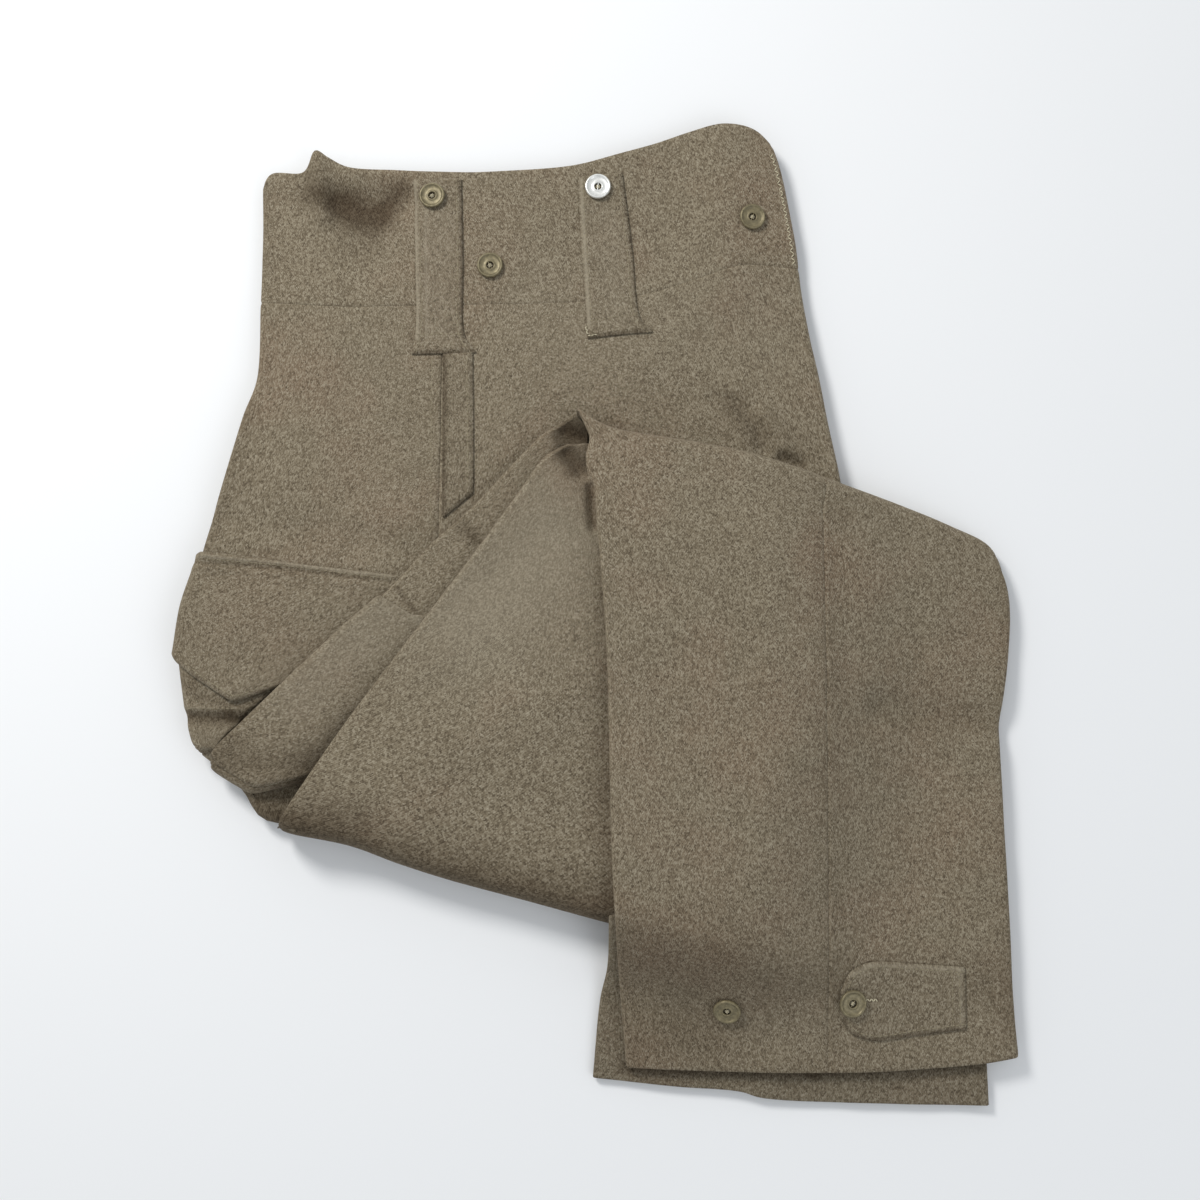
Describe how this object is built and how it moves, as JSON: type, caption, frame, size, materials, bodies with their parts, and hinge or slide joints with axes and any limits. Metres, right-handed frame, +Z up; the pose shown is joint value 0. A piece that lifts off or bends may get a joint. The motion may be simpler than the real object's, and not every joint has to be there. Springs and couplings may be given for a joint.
{
  "type": "battledress trousers",
  "caption": "Khaki wool battledress trousers, folded flat, with map pocket, belt loops, brace buttons and ankle tab.",
  "frame": {"origin": "middle of the folded garment's outline, on the surface it lies on", "axes": "+Z up from that surface, +Y towards the waistband, +X towards the seat's centre-back seam"},
  "size_m": [0.5992, 0.7106, 0.058],
  "materials": {
    "serge": "matte",
    "brass": "satin",
    "white_metal": "polished"
  },
  "bodies": {
    "root": {"waistband_left": "serge", "waistband_right": "serge", "left_front_thigh": "serge", "left_back_seat": "serge", "left_inner_knee": "serge", "right_front_knee": "serge", "left_front_shin": "serge", "left_back_shin": "serge", "left_inner_cuff": "serge", "right_inner_cuff": "serge", "right_outer_cuff": "serge", "hidden_layers": "serge", "belt_loop_side": "serge", "belt_loop_back": "serge", "side_pocket_welt": "serge", "map_pocket": "serge", "map_pocket_flap": "serge", "map_pocket_foot": "serge", "ankle_tab": "serge", "loop_button_side": "brass", "brace_button_side": "brass", "brace_button_back": "brass", "cuff_button_spare": "brass", "cuff_button_tab": "brass", "loop_button_back": "white_metal"}
  },
  "joints": []
}
